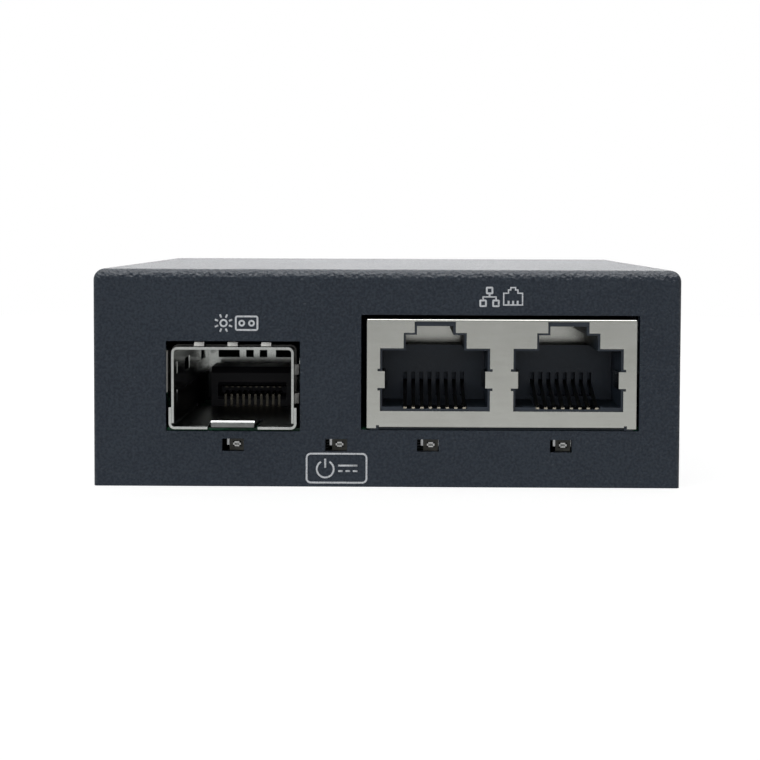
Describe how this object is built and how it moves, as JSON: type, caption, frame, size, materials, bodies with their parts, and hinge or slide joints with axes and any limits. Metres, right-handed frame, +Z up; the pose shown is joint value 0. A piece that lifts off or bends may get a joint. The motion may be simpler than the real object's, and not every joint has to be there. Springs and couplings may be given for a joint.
{
  "type": "fibre media converter",
  "caption": "Small folded steel case with a fibre transceiver port, two network ports and indicator lights on its front and a power inlet at its rear.",
  "frame": {"origin": "centre of the case's underside", "axes": "+X to the right and +Z up seen from the front, +Y from the front face to the rear"},
  "size_m": [0.07, 0.0946, 0.026],
  "materials": {
    "powder_coat": "fine textured black powder coat",
    "screw_black": "black zinc",
    "zinc_plate": "bright zinc",
    "board_green": "solder mask, semi-gloss",
    "cage_metal": "bright nickel plate",
    "spring_metal": "bright nickel plate",
    "jack_metal": "satin nickel plate",
    "black_plastic": "moulded, matt",
    "socket_plastic": "moulded, matt",
    "gold_plate": "gold plated",
    "clear_light": "clear epoxy",
    "chip_black": "moulded epoxy, matt",
    "ferrite": "sintered, matt",
    "can_metal": "bright drawn can",
    "chip_ceramic": "ceramic"
  },
  "bodies": {
    "root": {"case_cover": "powder_coat", "base_plate": "powder_coat", "side_screws": "screw_black", "board_standoffs": "zinc_plate", "board_screws": "zinc_plate", "main_board": "board_green", "fibre_cage_shell": "cage_metal", "fibre_cage_floor": "cage_metal", "cage_ground_spring": "spring_metal", "fibre_socket_body": "socket_plastic", "fibre_socket_contacts": "gold_plate", "lan_jack_shield": "jack_metal", "lan_jack_housing": "black_plastic", "lan_contacts_left": "gold_plate", "lan_contacts_right": "gold_plate", "lan_carrier_left": "black_plastic", "lan_carrier_right": "black_plastic", "power_inlet_body": "black_plastic", "power_inlet_pin": "zinc_plate", "power_inlet_spring": "zinc_plate", "light_fibre": "clear_light", "light_power": "clear_light", "light_lan_left": "clear_light", "light_lan_right": "clear_light", "switch_chip": "chip_black", "line_transformer_left": "chip_black", "line_transformer_right": "chip_black", "memory_chip": "chip_black", "crystal_can": "can_metal", "power_inductor": "ferrite", "regulator_chip": "chip_black", "bulk_capacitors": "can_metal", "chip_capacitors": "chip_ceramic", "chip_resistors": "chip_black"}
  },
  "joints": []
}
